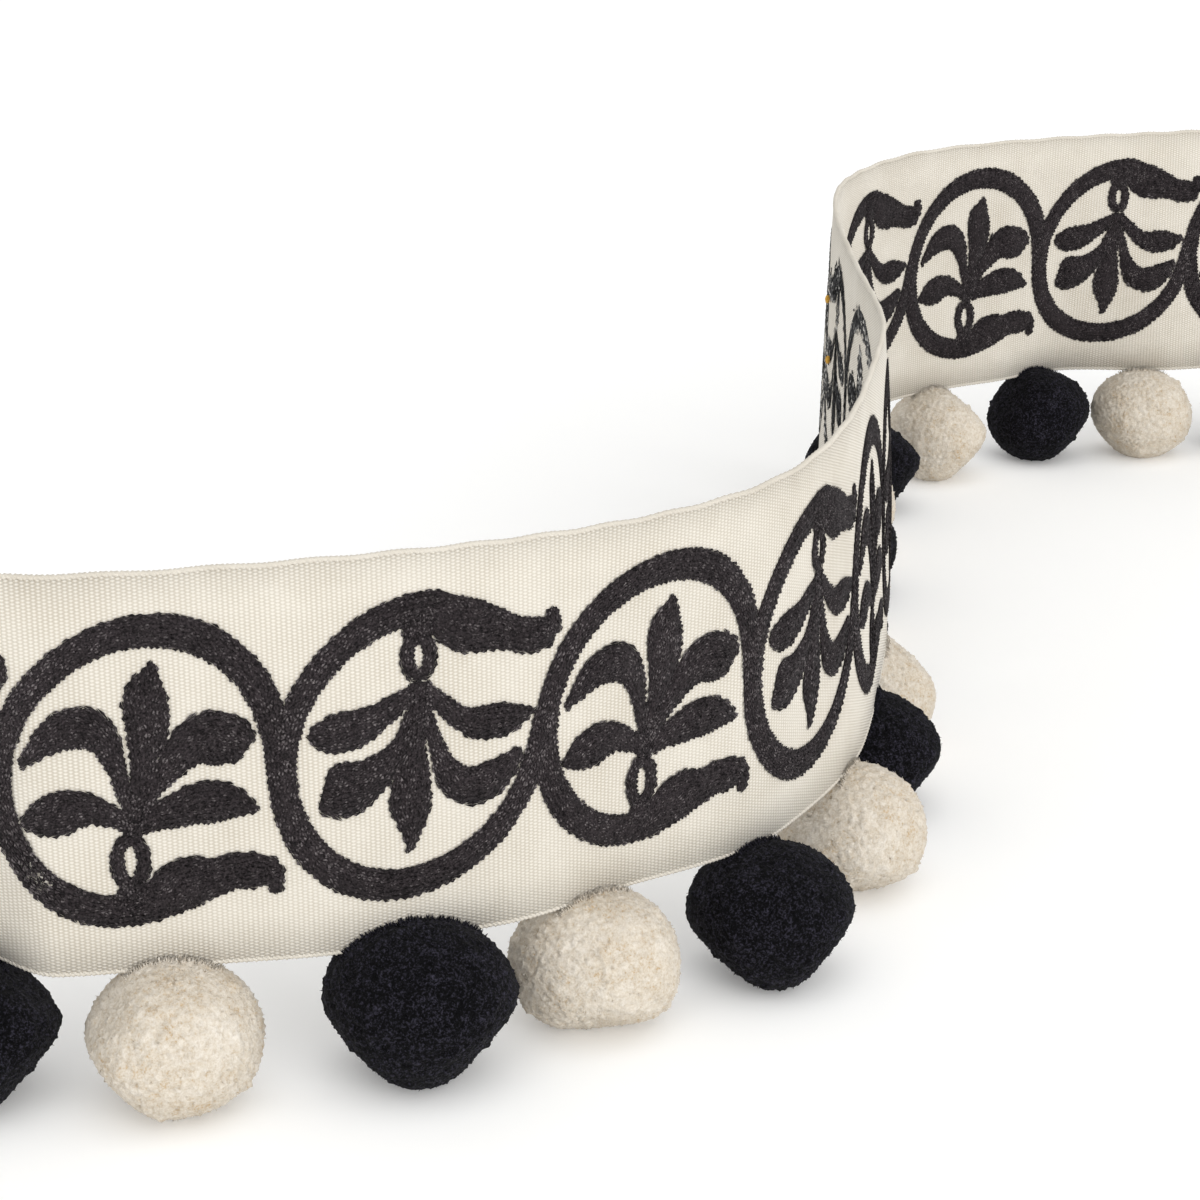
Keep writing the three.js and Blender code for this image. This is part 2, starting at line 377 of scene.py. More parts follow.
def twist_selvedge(name, down, ripples):
    deselect_all()
    bpy.ops.mesh.primitive_cylinder_add(
        vertices=6, radius=CORD_RADIUS, depth=CORD_TURN, end_fill_type="NOTHING",
        rotation=(0, math.pi / 2, 0))
    cord = bpy.context.object
    cord.name = name
    bpy.ops.object.transform_apply(location=True, rotation=True, scale=True)
    bpy.ops.object.mode_set(mode="EDIT")
    for cut in range(1, CORD_STEPS):
        place = CORD_TURN * (cut / CORD_STEPS - 0.5)
        bpy.ops.mesh.select_all(action="SELECT")
        bpy.ops.mesh.bisect(plane_co=(place, 0, 0), plane_no=(1, 0, 0))
    bpy.ops.object.mode_set(mode="OBJECT")
    points = get_points(cord)
    turn = np.pi * 2 * points[:, 0] / CORD_TURN
    across, up = points[:, 1].copy(), points[:, 2] * CORD_FLATNESS
    points[:, 1] = across * np.cos(turn) - up * np.sin(turn)
    points[:, 2] = across * np.sin(turn) + up * np.cos(turn)
    set_points(cord, points)
    apply_modifier(cord, "ARRAY", {
        "count": cord_turns, "use_relative_offset": False, "use_constant_offset": True,
        "constant_offset_displace": (CORD_TURN, 0, 0), "use_merge_vertices": True,
        "merge_threshold": 0.02})
    bpy.ops.object.mode_set(mode="EDIT")
    bpy.ops.mesh.select_all(action="DESELECT")
    bpy.ops.mesh.select_non_manifold()
    bpy.ops.mesh.edge_face_add()
    bpy.ops.object.mode_set(mode="OBJECT")
    points = get_points(cord)
    points[:, 0] = (points[:, 0] + CORD_TURN / 2) * TAPE_LENGTH / (cord_turns * CORD_TURN)
    points[:, 1] += edge_ripple(points[:, 0]) * ripples - down
    stand_up(cord, points)
    bpy.ops.object.shade_smooth()
    report(cord)
    return cord


upper_selvedge = twist_selvedge("upper_selvedge", EDGE_CORD, 1)
lower_selvedge = twist_selvedge("lower_selvedge", TAPE_WIDTH - EDGE_CORD, 0)

# %% [markdown]
# ## Drawing the scroll
# The pattern is an old one: a running scroll of rings, each holding a palmette of five leaves
# on a loop. Every other ring hangs upside down, so that the line runs on from one to the next.
# It is drawn here in strokes, as an embroiderer chalks it: a middle line with a width at each
# knot, in millimetres from the ring's centre. A soft curve goes through the knots.

# %% Strokes of the two palmettes
RING_SPACING = 58.6
FIRST_RING = 41.2
RING_DOWN = 44.0
RING_HALF_WIDTH, RING_HALF_HEIGHT = 28.6, 31.1
RING_LEAN = 0.1
RING_WIDTH, RING_SWELL = 6.9, 0.9
# in degrees round the ring
RING_FOOT, RING_END, JOIN_FROM, WIDEST = -84, -366, -341, 70
RING_GAP = 1.4
STITCH_LENGTH = 1.45

# x, y and width of each knot
UPRIGHT_LEAVES = {
    "middle": [(-1.9, -13.9, 4.4), (-0.9, -10, 5), (0.1, -5, 4.8), (1.1, 1, 5.2), (2.2, 6.1, 7.9),
               (2.7, 10.5, 9.6), (2.5, 15, 9.9), (2.7, 18.8, 8.2), (3.7, 21.3, 4.8),
               (4.4, 23.8, 2)],
    "upper_left": [(-1.2, -10, 3.6), (-2.6, -5, 3.6), (-3.9, 0.6, 4.2), (-5.6, 6.4, 6.6),
                   (-8.6, 10.4, 9.2), (-12.2, 11.1, 9.4), (-16.2, 9.6, 8), (-20, 6.5, 5),
                   (-23.6, 2.8, 2)],
    "upper_right": [(-0.2, -9.5, 3.8), (2.6, -4.6, 4.4), (6.2, 0, 6.2), (9.7, 4, 9),
                    (13.3, 6.3, 12), (17.3, 6.3, 12.6), (20.6, 5.2, 11), (22.8, 3.6, 7.4)],
    "lower_left": [(-1, -12.5, 4), (-3.9, -10.2, 4.8), (-6.9, -8.5, 5.8), (-10.1, -7.2, 7.6),
                   (-13.4, -7, 9.4), (-16.6, -8, 10.4), (-19.9, -9, 8.4), (-22.4, -9.9, 5),
                   (-24.2, -10.6, 2)],
    "lower_right": [(0, -12.2, 4), (3.7, -10.2, 6.3), (7.5, -9.1, 8.3), (12.3, -7.9, 9.9),
                    (16.9, -7.8, 9.5), (20.6, -8.6, 7), (22.9, -9.7, 3.8), (24.4, -10.4, 1.8)],
    "tail": [(-3.5, -31.4, 6.8), (0, -30.6, 8.4), (3.2, -29, 10.2), (7.4, -26.5, 12.2),
             (11.2, -25.4, 11.6), (15, -25.1, 9.4), (18.8, -24, 8.7), (22.4, -24.1, 9),
             (25.8, -24.2, 7.4), (28.2, -24.4, 5.4)],
    "hook": [(27.3, -23.4, 4.4), (27.5, -26.4, 4.2), (27.4, -29.6, 3.4)],
    "neck": [(-2.4, -30, 7.6), (-2.4, -26.8, 6.4), (-2.4, -24.2, 5)],
}
HANGING_LEAVES = {
    "middle": [(1.2, -14.5, 5.2), (1, -10, 5.2), (0.4, -5, 4.8), (-0.3, 0, 5.2), (-0.8, 4, 7.4),
               (-1.3, 8.2, 9.2), (-1.6, 12, 9.8), (-1.4, 15.2, 8.8), (-1.3, 18, 6.4),
               (-1.5, 20.6, 4), (-1.8, 23.6, 2.2)],
    "upper_left": [(-0.6, -8, 4), (-2.6, -2, 4.8), (-6.4, 2.6, 7.2), (-10.4, 5.4, 9.8),
                   (-14.4, 7, 12.8), (-18, 7.7, 12.6), (-20.4, 7.2, 9)],
    "upper_right": [(2, -8, 4), (3.6, -3, 3.6), (5.2, 2.4, 4.4), (7.2, 7.2, 7), (10.4, 10.5, 8.8),
                    (14.6, 10.9, 9.4), (18.7, 8.9, 8), (22, 6.2, 5), (23.6, 4.2, 2.4)],
    "lower_left": [(0, -12.4, 4.4), (-3.4, -10.8, 5.2), (-6.8, -8.8, 6.2), (-10.4, -7, 8),
                   (-14.2, -5.9, 9.5), (-18, -5.4, 9), (-21.2, -5.6, 6.2), (-22.8, -6, 3.4)],
    "lower_right": [(1.8, -13, 4.2), (5, -10, 4.4), (8.2, -6.8, 5), (11.2, -4.3, 6.4),
                    (14.6, -3.3, 8), (18.2, -3.2, 8.7), (21.8, -3.3, 7.2), (24.6, -3.8, 4.4),
                    (26.8, -4.4, 2)],
    "tail": [(-3, -30.8, 6.4), (1.4, -30.8, 7.8), (5.2, -30.2, 9), (8.6, -27.6, 11.6),
             (12.8, -25.5, 12.6), (17.4, -24.3, 10.6), (22, -22.7, 8.4), (26.2, -21.5, 8.5),
             (29.6, -21.4, 7.8), (32, -21.6, 5.4)],
    "hook": [(31.4, -21, 4.6), (31.7, -24, 4.2), (31.4, -26.8, 3.4)],
    "neck": [(1.1, -30, 7.8), (1.1, -26.6, 7.6), (1.1, -24.4, 6)],
}
UPRIGHT_LOOP = {"centre": (-2.3, -19.8), "half": (2.8, 5.3)}
HANGING_LOOP = {"centre": (1.1, -20.4), "half": (2.6, 4.6)}
LOOP_WIDTH = 3.4


def even_stations(line):
    """A fine line of x, y and width, re-spaced to whole stitches."""
    steps = np.linalg.norm(np.diff(line[:, :2], axis=0), axis=1)
    travelled = np.concatenate([[0], np.cumsum(steps)])
    count = max(2, round(travelled[-1] / STITCH_LENGTH) + 1)
    marks = np.linspace(0, travelled[-1], count)
    return np.stack([np.interp(marks, travelled, line[:, column]) for column in range(3)], axis=1)


def soft_curve(knots):
    """A Catmull-Rom curve through the knots."""
    knots = np.array(knots, dtype=float)
    padded = np.vstack([2 * knots[0] - knots[1], knots, 2 * knots[-1] - knots[-2]])
    share = np.linspace(0, 1, 24, endpoint=False)[:, None]
    pieces = []
    for first, second, third, fourth in zip(padded, padded[1:], padded[2:], padded[3:]):
        slope_in, slope_out = (third - first) / 2, (fourth - second) / 2
        pieces.append(
            (2 * share ** 3 - 3 * share ** 2 + 1) * second
            + (share ** 3 - 2 * share ** 2 + share) * slope_in
            + (3 * share ** 2 - 2 * share ** 3) * third
            + (share ** 3 - share ** 2) * slope_out)
    return np.vstack(pieces + [knots[-1:]])


def ring_line(side):
    """The ring's band, from its foot up its left side to where it runs into the next ring."""
    degrees = np.linspace(RING_FOOT, RING_END, 240)
    angle = np.radians(degrees)
    y = RING_HALF_HEIGHT * np.sin(angle)
    joining = np.clip((JOIN_FROM - degrees) / (JOIN_FROM - RING_END), 0, 1)
    x = RING_HALF_WIDTH * np.cos(angle) + side * RING_LEAN * y + RING_GAP * joining ** 2
    width = RING_WIDTH + RING_SWELL * np.cos(2 * (angle - side * math.radians(WIDEST)))
    return np.stack([x, y, width], axis=1)


def loop_line(loop):
    angle = np.radians(np.linspace(-90, 270, 60))
    x = loop["centre"][0] + loop["half"][0] * np.cos(angle)
    y = loop["centre"][1] + loop["half"][1] * np.sin(angle)
    return np.stack([x, y, np.full_like(angle, LOOP_WIDTH)], axis=1)


def draw_palmette(leaves, loop, side):
    """side is 1 for an upright ring and -1 for one that will be turned upside down."""
    strokes = [even_stations(ring_line(side))]
    strokes += [even_stations(soft_curve(knots)) for knots in leaves.values()]
    return strokes + [even_stations(loop_line(loop))]


upright_strokes = draw_palmette(UPRIGHT_LEAVES, UPRIGHT_LOOP, 1)
hanging_strokes = draw_palmette(HANGING_LEAVES, HANGING_LOOP, -1)
print("strokes in a ring:", len(upright_strokes))

# %% [markdown]
# ## Where each stitch goes
# A stroke is filled with rows of chain stitch that run along it, as many side by side as its
# width takes. Rows start half a stitch apart, like bricks. Each stitch is kept as a place, a
# direction, a length and a width, worked out once for each of the two palmettes.

# %% Stitch places
ROW_PITCH = 1.18
SHORTEST_STITCH = 0.9
BRICK_SHIFT = 0.25


def sides_of(stroke):
    """Left and right unit normals along a stroke."""
    along = np.gradient(stroke[:, :2], axis=0)
    along /= np.linalg.norm(along, axis=1)[:, None]
    return np.stack([-along[:, 1], along[:, 0]], axis=1)


def stitch_places(strokes):
    places = []
    for stroke in strokes:
        normal = sides_of(stroke)
        for station in range(len(stroke) - 1):
            width = (stroke[station, 2] + stroke[station + 1, 2]) / 2
            rows = max(1, round(width / ROW_PITCH))
            for row in range(rows):
                aside = ((row + 0.5) / rows - 0.5)
                ends = [
                    stroke[end, :2] + normal[end] * aside * stroke[end, 2]
                    for end in (station, station + 1)]
                step = ends[1] - ends[0]
                middle = (ends[0] + ends[1]) / 2 + step * (BRICK_SHIFT if row % 2 else -BRICK_SHIFT)
                long = np.hypot(*step)
                along = step / max(long, 0.01)
                places.append((*middle, *along, max(long, SHORTEST_STITCH), width / rows))
    return np.array(places)


upright_places = stitch_places(upright_strokes)
hanging_places = stitch_places(hanging_strokes)
print("stitches in a ring:", len(upright_places), "and", len(hanging_places))

# %% [markdown]
# ## One chain stitch
# A chain stitch is a loop of yarn held down by the next one, so it shows as two plump strands
# that part and meet again. One strand is a three-sided cone with a point at both ends and its
# thick waist pushed aside and up. A Mirror modifier makes the second strand. A stitch has only
# 12 triangles, because some twenty thousand of them follow.

# %% Model a stitch and a back stitch
STITCH_TOP = 0.66
BACK_STITCH_TOP = 0.5


def strand(name, waist_at, half_width, top, aside, tips_aside, reach):
    """A strand along x from -reach to reach, thickest at its waist."""
    deselect_all()
    bpy.ops.mesh.primitive_cone_add(
        vertices=3, radius1=1, radius2=0, depth=2, end_fill_type="TRIFAN",
        rotation=(0, math.pi / 2, 0))
    obj = bpy.context.object
    obj.name = name
    bpy.ops.object.transform_apply(location=True, rotation=True, scale=True)
    points = get_points(obj)
    waist = np.hypot(points[:, 1], points[:, 2]) > 0.1
    across, up = -points[:, 2], points[:, 1]
    points[:, 0] = np.where(waist, waist_at, points[:, 0] * reach)
    points[:, 1] = np.where(waist, across * half_width + aside, tips_aside)
    points[:, 2] = np.where(waist, top * (0.4 + 0.6 * up), 0.16 * top)
    set_points(obj, points)
    return obj


stitch = strand(
    "stitch_pattern", waist_at=0.1, half_width=0.29, top=STITCH_TOP, aside=0.27, tips_aside=0.07,
    reach=0.62)
apply_modifier(stitch, "MIRROR", {"use_axis": (False, True, False), "use_mirror_merge": False})
stitch_triangles, stitch_points = get_triangles(stitch), get_points(stitch)
bar = strand(
    "back_stitch_pattern", waist_at=0, half_width=0.42, top=BACK_STITCH_TOP, aside=0, tips_aside=0,
    reach=0.95)
bar_triangles, bar_points = get_triangles(bar), get_points(bar)
for pattern in (stitch, bar):
    bpy.data.objects.remove(pattern)
print("a stitch has", len(stitch_triangles), "triangles and a back stitch", len(bar_triangles))

# %% [markdown]
# ## Sewing the scroll
# The stitches of each ring are copied from its palmette, shifted to the ring's centre, turned
# upside down in every other ring and pulled about a little, each ring in its own way, because
# the needle was guided by hand. All of them become one joined mesh for each half of the tape.
# A thin underlay lies below them, so that no cloth shows between two rows. It is coloured in
# the yarn's darkest tone, which is painted shade in the gaps between the rows.

# %% Sew the face
RINGS = range(-1, 15)
FACE = CLOTH_THICKNESS / 2 + RIB_HEIGHT
CUT_MARGIN = 1.2
STITCH_DRIFT = 0.12
STITCH_TURN = 0.2
OVERLAP_ALONG, OVERLAP_ACROSS = 1.12, 1.1
HEIGHT_SPREAD = (0.85, 1.15)
FACE_SEED, FACE_LOOSENESS = 100, 1.0


def ring_places(ring, seed, looseness):
    """The stitch places of one ring on the tape. looseness is how far they are pulled about."""
    rng = np.random.default_rng(seed + ring)
    upright = ring % 2 != 0
    places = (upright_places if upright else hanging_places).copy()
    if not upright:
        places[:, [1, 3]] *= -1
    places[:, 0] += FIRST_RING + RING_SPACING * ring
    places[:, 1] -= RING_DOWN
    places[:, :2] += rng.normal(0, STITCH_DRIFT * looseness, (len(places), 2))
    turn = rng.normal(0, STITCH_TURN * looseness, len(places))
    along, up = places[:, 2].copy(), places[:, 3].copy()
    places[:, 2] = along * np.cos(turn) - up * np.sin(turn)
    places[:, 3] = along * np.sin(turn) + up * np.cos(turn)
    kept = (places[:, 0] > CUT_MARGIN) & (places[:, 0] < TAPE_LENGTH - CUT_MARGIN)
    return places[kept]


def sew(name, places, points, triangles, side, rng):
    """Copies a stitch to each place and stands them up. side is 1 on the face, -1 behind."""
    count = len(places)
    height = rng.uniform(*HEIGHT_SPREAD, count)[:, None]
    along = points[None, :, 0] * places[:, 4, None] * OVERLAP_ALONG
    across = points[None, :, 1] * places[:, 5, None] * OVERLAP_ACROSS * side
    proud = (FACE + points[None, :, 2] * height) * side
    flat = np.stack([
        places[:, 0, None] + along * places[:, 2, None] - across * places[:, 3, None],
        places[:, 1, None] + along * places[:, 3, None] + across * places[:, 2, None],
        proud], axis=2).reshape(-1, 3)
    corners = (triangles[None] + np.arange(count)[:, None, None] * len(points)).reshape(-1, 3)
    tones = np.repeat(rng.uniform(0, 1, count), len(points))
    obj = new_piece(name, stand(flat), corners, tones)
    report(obj)
    return obj


face_places = np.vstack([ring_places(ring, FACE_SEED, FACE_LOOSENESS) for ring in RINGS])
left_half = face_places[:, 0] < TAPE_LENGTH / 2
rng = np.random.default_rng(7)
scroll_left, scroll_right = [
    sew("chain_stitch_scroll_" + half, places, stitch_points, stitch_triangles, 1, rng)
    for half, places in (("left", face_places[left_half]), ("right", face_places[~left_half]))]

# %% [markdown]
# ## The underlay and the wrong side
# The underlay is a thin closed band below each stroke, a little narrower than the stitches.
# Behind, every second place shows the wrong side of the work: a short flat back stitch, pulled
# about more loosely than on the face and flecked where the pale holding thread comes through,
# over a narrower band of its own.

# %% Underlay bands and wrong side
UNDERLAY_THICKNESS = {1: 0.28, -1: 0.1}
UNDERLAY_INSET = {1: 0.45, -1: 1.1}
NARROWEST_HALF = 0.2
WRONG_SIDE_SEED, WRONG_SIDE_LOOSENESS = 300, 3.6


def underlay_bands(side):
    points, triangles = [], []
    start = 0
    for ring in RINGS:
        upright = ring % 2 != 0
        for stroke in upright_strokes if upright else hanging_strokes:
            line = stroke[np.unique(np.append(np.arange(0, len(stroke), 2), len(stroke) - 1))]
            normal = sides_of(line)
            half = np.maximum(line[:, 2] / 2 - UNDERLAY_INSET[side], NARROWEST_HALF)[:, None]
            edges = [line[:, :2] - normal * half, line[:, :2] + normal * half]
            if not upright:
                edges = [edge * (1, -1) for edge in edges[::-1]]
            shift = (FIRST_RING + RING_SPACING * ring, -RING_DOWN)
            low = side * (FACE - RIB_HEIGHT)
            high = side * (FACE + UNDERLAY_THICKNESS[side])
            section = [(edges[0], low), (edges[1], low), (edges[1], high), (edges[0], high)]
            band = np.stack([
                np.column_stack([
                    np.clip(edge[:, 0] + shift[0], CUT_MARGIN, TAPE_LENGTH - CUT_MARGIN),
                    edge[:, 1] + shift[1], np.full(len(line), level)])
                for edge, level in section], axis=1)
            if band[:, :, 0].ptp() < STITCH_LENGTH:
                continue
            points.append(band.reshape(-1, 3))
            count = len(line)
            for station in range(count - 1):
                for corner in range(4):
                    here = start + station * 4 + corner
                    aside = start + station * 4 + (corner + 1) % 4
                    triangles += [(here, aside, here + 4), (aside, aside + 4, here + 4)]
            last = start + (count - 1) * 4
            triangles += [(start, start + 2, start + 1), (start, start + 3, start + 2)]
            triangles += [(last, last + 1, last + 2), (last, last + 2, last + 3)]
            start += count * 4
    triangles = np.array(triangles)
    if side < 0:
        triangles = triangles[:, ::-1]
    return np.vstack(points), triangles


def lay_bands(name, side):
    points, triangles = underlay_bands(side)
    # Every band takes the darkest tone; on the face this is painted shade in the gaps between rows.
    obj = new_piece(name, stand(points), triangles, np.zeros(len(points)))
    report(obj)
    return obj


face_shade_underlay = lay_bands("face_shade_underlay", 1)
wrong_side_underlay = lay_bands("wrong_side_underlay", -1)
wrong_side_places = np.vstack([
    ring_places(ring, WRONG_SIDE_SEED, WRONG_SIDE_LOOSENESS)[::2] for ring in RINGS])
wrong_side = sew("wrong_side_stitches", wrong_side_places, bar_points, bar_triangles, -1, rng)

# %% [markdown]
# Two ends of gold thread were knotted off behind. Each knot is a small round sphere pressed
# flat on the wrong side, placed by its distance along and down the tape.

# %% Two gold knots
# along and down in millimetres
KNOTS = [(537.0, -26.4), (523.0, -42.6)]
KNOT_RADIUS = 1.3
KNOT_FLATNESS = 0.6
KNOT_LUMPS = 0.12
KNOT_LIFT = 0.45


def tie_knot(number, along, down):
    deselect_all()
    bpy.ops.mesh.primitive_ico_sphere_add(subdivisions=3, radius=KNOT_RADIUS)
    knot = bpy.context.object
    knot.name = f"gold_knot_{number}"
    points = get_points(knot)
    points *= 1 + KNOT_LUMPS * np.sin(5 * points[:, :1] + number) * np.cos(6 * points[:, 1:2])
    behind = -FACE - BACK_STITCH_TOP - KNOT_LIFT
    stand_up(knot, points * (1, 1, KNOT_FLATNESS) + (along, down, behind))
    bpy.ops.object.shade_smooth()
    report(knot)
    return knot


gold_knots = [tie_knot(number, *place) for number, place in enumerate(KNOTS, start=1)]

# %% [markdown]
# ## The pompoms
# A pompom is a bundle of yarn tied at its middle and clipped round with shears, so it is never
# a true ball: each cut leaves a soft flat, and the yarn ends stand in small tufts. The clipped
# form is the same formula that made the solid: an ellipsoid softly cut by its shear planes.
# A fine sphere is pushed out to that form and parted round the tape with a Boolean.

# %% Clipped forms
# at, front, wide, deep, tall in millimetres, and the shear cuts of each ball
POMPOMS = [
    (22, 5, 37, 36, 34.5, ["upper_left"]),
    (60, 6, 40, 38, 36, ["lower_right", "upper_right"]),
    (104, 3, 39, 36, 34.5, ["lower_left", "upper_left"]),
    (157.2, 2.5, 42.5, 39, 38, ["lower_left", "lower_right"]),
    (202, 1, 39, 36, 33.5, ["low"]),
    (248.5, 6.5, 40, 37, 34, ["lower_left", "lower_right"]),
    (301, 2, 37.5, 37, 33, ["low", "upper_left"]),
    (350, -1, 38.5, 38, 34, ["lower_right"]),
    (395, -3.5, 37, 38, 34, ["upper_right"]),
    (442, -11, 36, 38, 35.5, ["low", "upper_left"]),
    (484, -3, 37, 37, 34, ["lower_right"]),
    (523, 4.5, 38, 38, 34, ["lower_left"]),
    (567, 7.5, 37, 37, 35, ["upper_left", "low"]),
    (617, 7.5, 41, 38, 35, ["lower_right", "upper_right"]),
    (670, 4, 37.5, 36, 34, ["upper_right", "lower_right"]),
    (718, 5, 37.5, 36, 34.5, ["upper_left", "lower_right"]),
    (757, 5, 37, 36, 33.5, ["lower_left"]),
    (803, 4, 39, 37, 35.5, ["upper_right", "low"]),
]
# across, up, near and the share of the ball's reach that the cut leaves
SHEAR_CUTS = {
    "lower_left": (-0.72, -0.62, 0.3, 0.84),
    "lower_right": (0.76, -0.6, 0.25, 0.85),
    "upper_left": (-0.74, 0.6, 0.3, 0.87),
    "upper_right": (0.66, 0.7, -0.2, 0.86),
    "low": (0.1, -0.8, 0.6, 0.86),
}
SHEAR_SHARPNESS = 12
FLOOR_PRESS = 1.5
LUMP_SHARE = 0.013
PILE_CLEARANCE = 0.04
PARTING = CLOTH_THICKNESS / 2 + RIB_HEIGHT + PILE_CLEARANCE
TOOL_LENGTH, TOOL_HEIGHT = 60.0, 40.0
TOOL_BELOW_EDGE = 0.3


def half_size(row):
    return np.array(row[2:5]) / 2


def ball_reach(direction, row, number):
    """How far a clipped ball reaches in each direction, in millimetres."""
    size = half_size(row)
    total = np.linalg.norm(direction / size, axis=1) ** SHEAR_SHARPNESS
    for across, up, near, keep in [SHEAR_CUTS[cut] for cut in row[5]]:
        normal = np.array([across, -near, up])
        normal /= np.linalg.norm(normal)
        reach = keep * np.linalg.norm(normal * size)
        total += (np.maximum(0, direction @ normal) / reach) ** SHEAR_SHARPNESS
    x, y, z = direction.T
    lumps = np.sin(4.1 * x + number) + np.sin(4.7 * y + 2 * number)
    lumps += np.sin(5.3 * z + 2 * x + 3 * number)
    return (1 + LUMP_SHARE * lumps) / total ** (1 / SHEAR_SHARPNESS)


def ball_centre(row):
    at, front, tall = row[0], row[1], row[4]
    out = front - soft_value(np.array([at]), BACK)[0]
    centre = stand(np.array([[at, 0.0, out]]))[0]
    centre[2] = tall / 2 - FLOOR_PRESS
    return centre


def parting_tool(at):
    """A strip of the standing tape, grown by the clearance, which cuts the ball open."""
    deselect_all()
    bpy.ops.mesh.primitive_grid_add(x_subdivisions=16, y_subdivisions=4, size=1)
    tool = bpy.context.object
    apply_modifier(tool, "SOLIDIFY", {"thickness": 2 * PARTING, "offset": 0})
    points = get_points(tool)
    points[:, 0] = at + points[:, 0] * TOOL_LENGTH
    points[:, 1] = points[:, 1] * TOOL_HEIGHT - TAPE_WIDTH - TOOL_BELOW_EDGE + TOOL_HEIGHT / 2
    stand_up(tool, points)
    return tool


def clipped_ball(name, number, row):
    centre = ball_centre(row)
    deselect_all()
    bpy.ops.mesh.primitive_ico_sphere_add(subdivisions=6, radius=1)
    ball = bpy.context.object
    ball.name = name
    direction = get_points(ball)
    direction /= np.linalg.norm(direction, axis=1)[:, None]
    reach = ball_reach(direction, row, number)
    to_floor = np.where(direction[:, 2] < 0, -centre[2] / np.minimum(direction[:, 2], -1e-6), 1e9)
    points = centre + direction * np.minimum(reach, to_floor)[:, None]
    set_points(ball, (points + WALK_START) * MM)
    tool = parting_tool(row[0])
    apply_modifier(ball, "BOOLEAN", {"operation": "DIFFERENCE", "object": tool, "solver": "EXACT"})
    bpy.data.objects.remove(tool)
    return ball, centre + WALK_START


# %% [markdown]
# ## Clipped pile
# The yarn ends gather in tufts two or three millimetres wide with fine creases between them.
# Each vertex looks for its nearest tuft and the next one: it is pushed out in a tuft's middle
# and drawn in along the crease, and ruffled a little by itself. The tuft's own shade is kept
# on it as an attribute, so that the colour can vary from tuft to tuft. Last, a few hundred
# single yarn ends are stood up all round, and a thousand more along the parting, where the
# pile meets the cloth, which makes the outline soft.

# %% Ruffle the pile
TUFTS = 1500
TUFT_HEIGHT = 0.42
TUFT_CREASE = 1.0
RUFFLE = 0.2
STRAY_ENDS = 500
STRAY_LENGTH = (0.2, 1.0)
STRAY_WIDTH = 0.27
FRINGE_ENDS = 1000
FRINGE_LENGTH = (0.3, 1.3)
LOCKS = 16
LOCK_BAND = 0.72
LOCK_HEIGHT, LOCK_REACH = 0.9, 1.3
SKIN_DEPTH = 0.4
ROOT_DEPTH = 0.5
STRAY_LEAN = 0.32
FRINGE_BAND = 1.5
FRINGE_SWAY = 0.2
LONGEST_CLOSING = 0.9
# Painted light: the tips of the yarn ends are coloured lighter than their roots.
END_CROWN_AND_SHADE = [0.9, 0.9, 0.9, 1.5]
NEARBY = 26
GOLDEN_TURN = math.pi * (3 - math.sqrt(5))


def unit(vectors):
    return vectors / np.linalg.norm(vectors, axis=1)[:, None]


def even_directions(count, band=1.0):
    """Directions on a spiral that cover a sphere evenly."""
    up = band * (1 - (2 * np.arange(count) + 1) / count)
    turn = GOLDEN_TURN * np.arange(count)
    level = np.sqrt(1 - up ** 2)
    return np.stack([np.cos(turn) * level, np.sin(turn) * level, up], axis=1)


def tuft_field(direction, radius, rng):
    """Height, tone and crown of the pile; the crown also gives painted light and shade."""
    seeds = unit(even_directions(TUFTS) + rng.normal(0, 0.035, (TUFTS, 3)))
    closeness = direction @ seeds.T
    nearest = closeness.argmax(axis=1)
    two = np.partition(closeness, -2, axis=1)[:, -2:]
    apart = (np.arccos(np.clip(two[:, 0], -1, 1)) - np.arccos(np.clip(two[:, 1], -1, 1))) * radius
    crown_and_shade = np.clip(apart / TUFT_CREASE, 0, 1)
    crown_and_shade = crown_and_shade * (2 - crown_and_shade)
    shade = rng.uniform(0, 1, TUFTS)[nearest]
    size = rng.uniform(0.5, 1, TUFTS)[nearest]
    return TUFT_HEIGHT * size * (crown_and_shade - 0.6), shade, crown_and_shade


def ruffle(ball, centre, row, number):
    rng = np.random.default_rng(1000 + number)
    radius = half_size(row).mean()
    points = get_points(ball) / MM
    offset = points - centre
    distance = np.linalg.norm(offset, axis=1)
    direction = offset / distance[:, None]
    reach = ball_reach(direction, row, number)
    free = (distance > reach - SKIN_DEPTH) & (points[:, 2] > SKIN_DEPTH)
    height, shade, crown_and_shade = tuft_field(direction, radius, rng)
    for aim in even_directions(LOCKS, LOCK_BAND):
        near = np.arccos(np.clip(direction @ aim, -1, 1)) * radius
        height += LOCK_HEIGHT * np.exp(-(near / LOCK_REACH) ** 2)
    height += rng.normal(0, RUFFLE, len(points))
    points += direction * np.where(free, height, 0)[:, None]
    points[:, 2] = np.maximum(points[:, 2], 0)
    set_points(ball, points * MM)
    # Painted light and shade: the pile is coloured lighter on each tuft's crown, darker in its
    # creases.
    keep_values(ball.data, "tone", shade)
    keep_values(ball.data, "crown_and_shade", crown_and_shade)


def to_tape(points, at):
    """The level step from each standing point to the tape's middle, near one place."""
    places = at + np.linspace(-NEARBY, NEARBY, 105)
    share = np.clip((TOP_HEIGHT - points[:, 2:]) / TAPE_WIDTH, 0, 1)
    out = soft_value(places, BELLY) * np.sin(np.pi * share) - soft_value(places, BACK) * share
    heading = heading_at(places)
    step_x = np.interp(places, walk_marks, walk_x) + out * np.sin(heading) - points[:, :1]
    step_y = np.interp(places, walk_marks, walk_y) - out * np.cos(heading) - points[:, 1:2]
    nearest = np.argmin(np.hypot(step_x, step_y), axis=1)
    rows = np.arange(len(points))
    return np.stack([step_x[rows, nearest], step_y[rows, nearest], np.zeros(len(points))], axis=1)


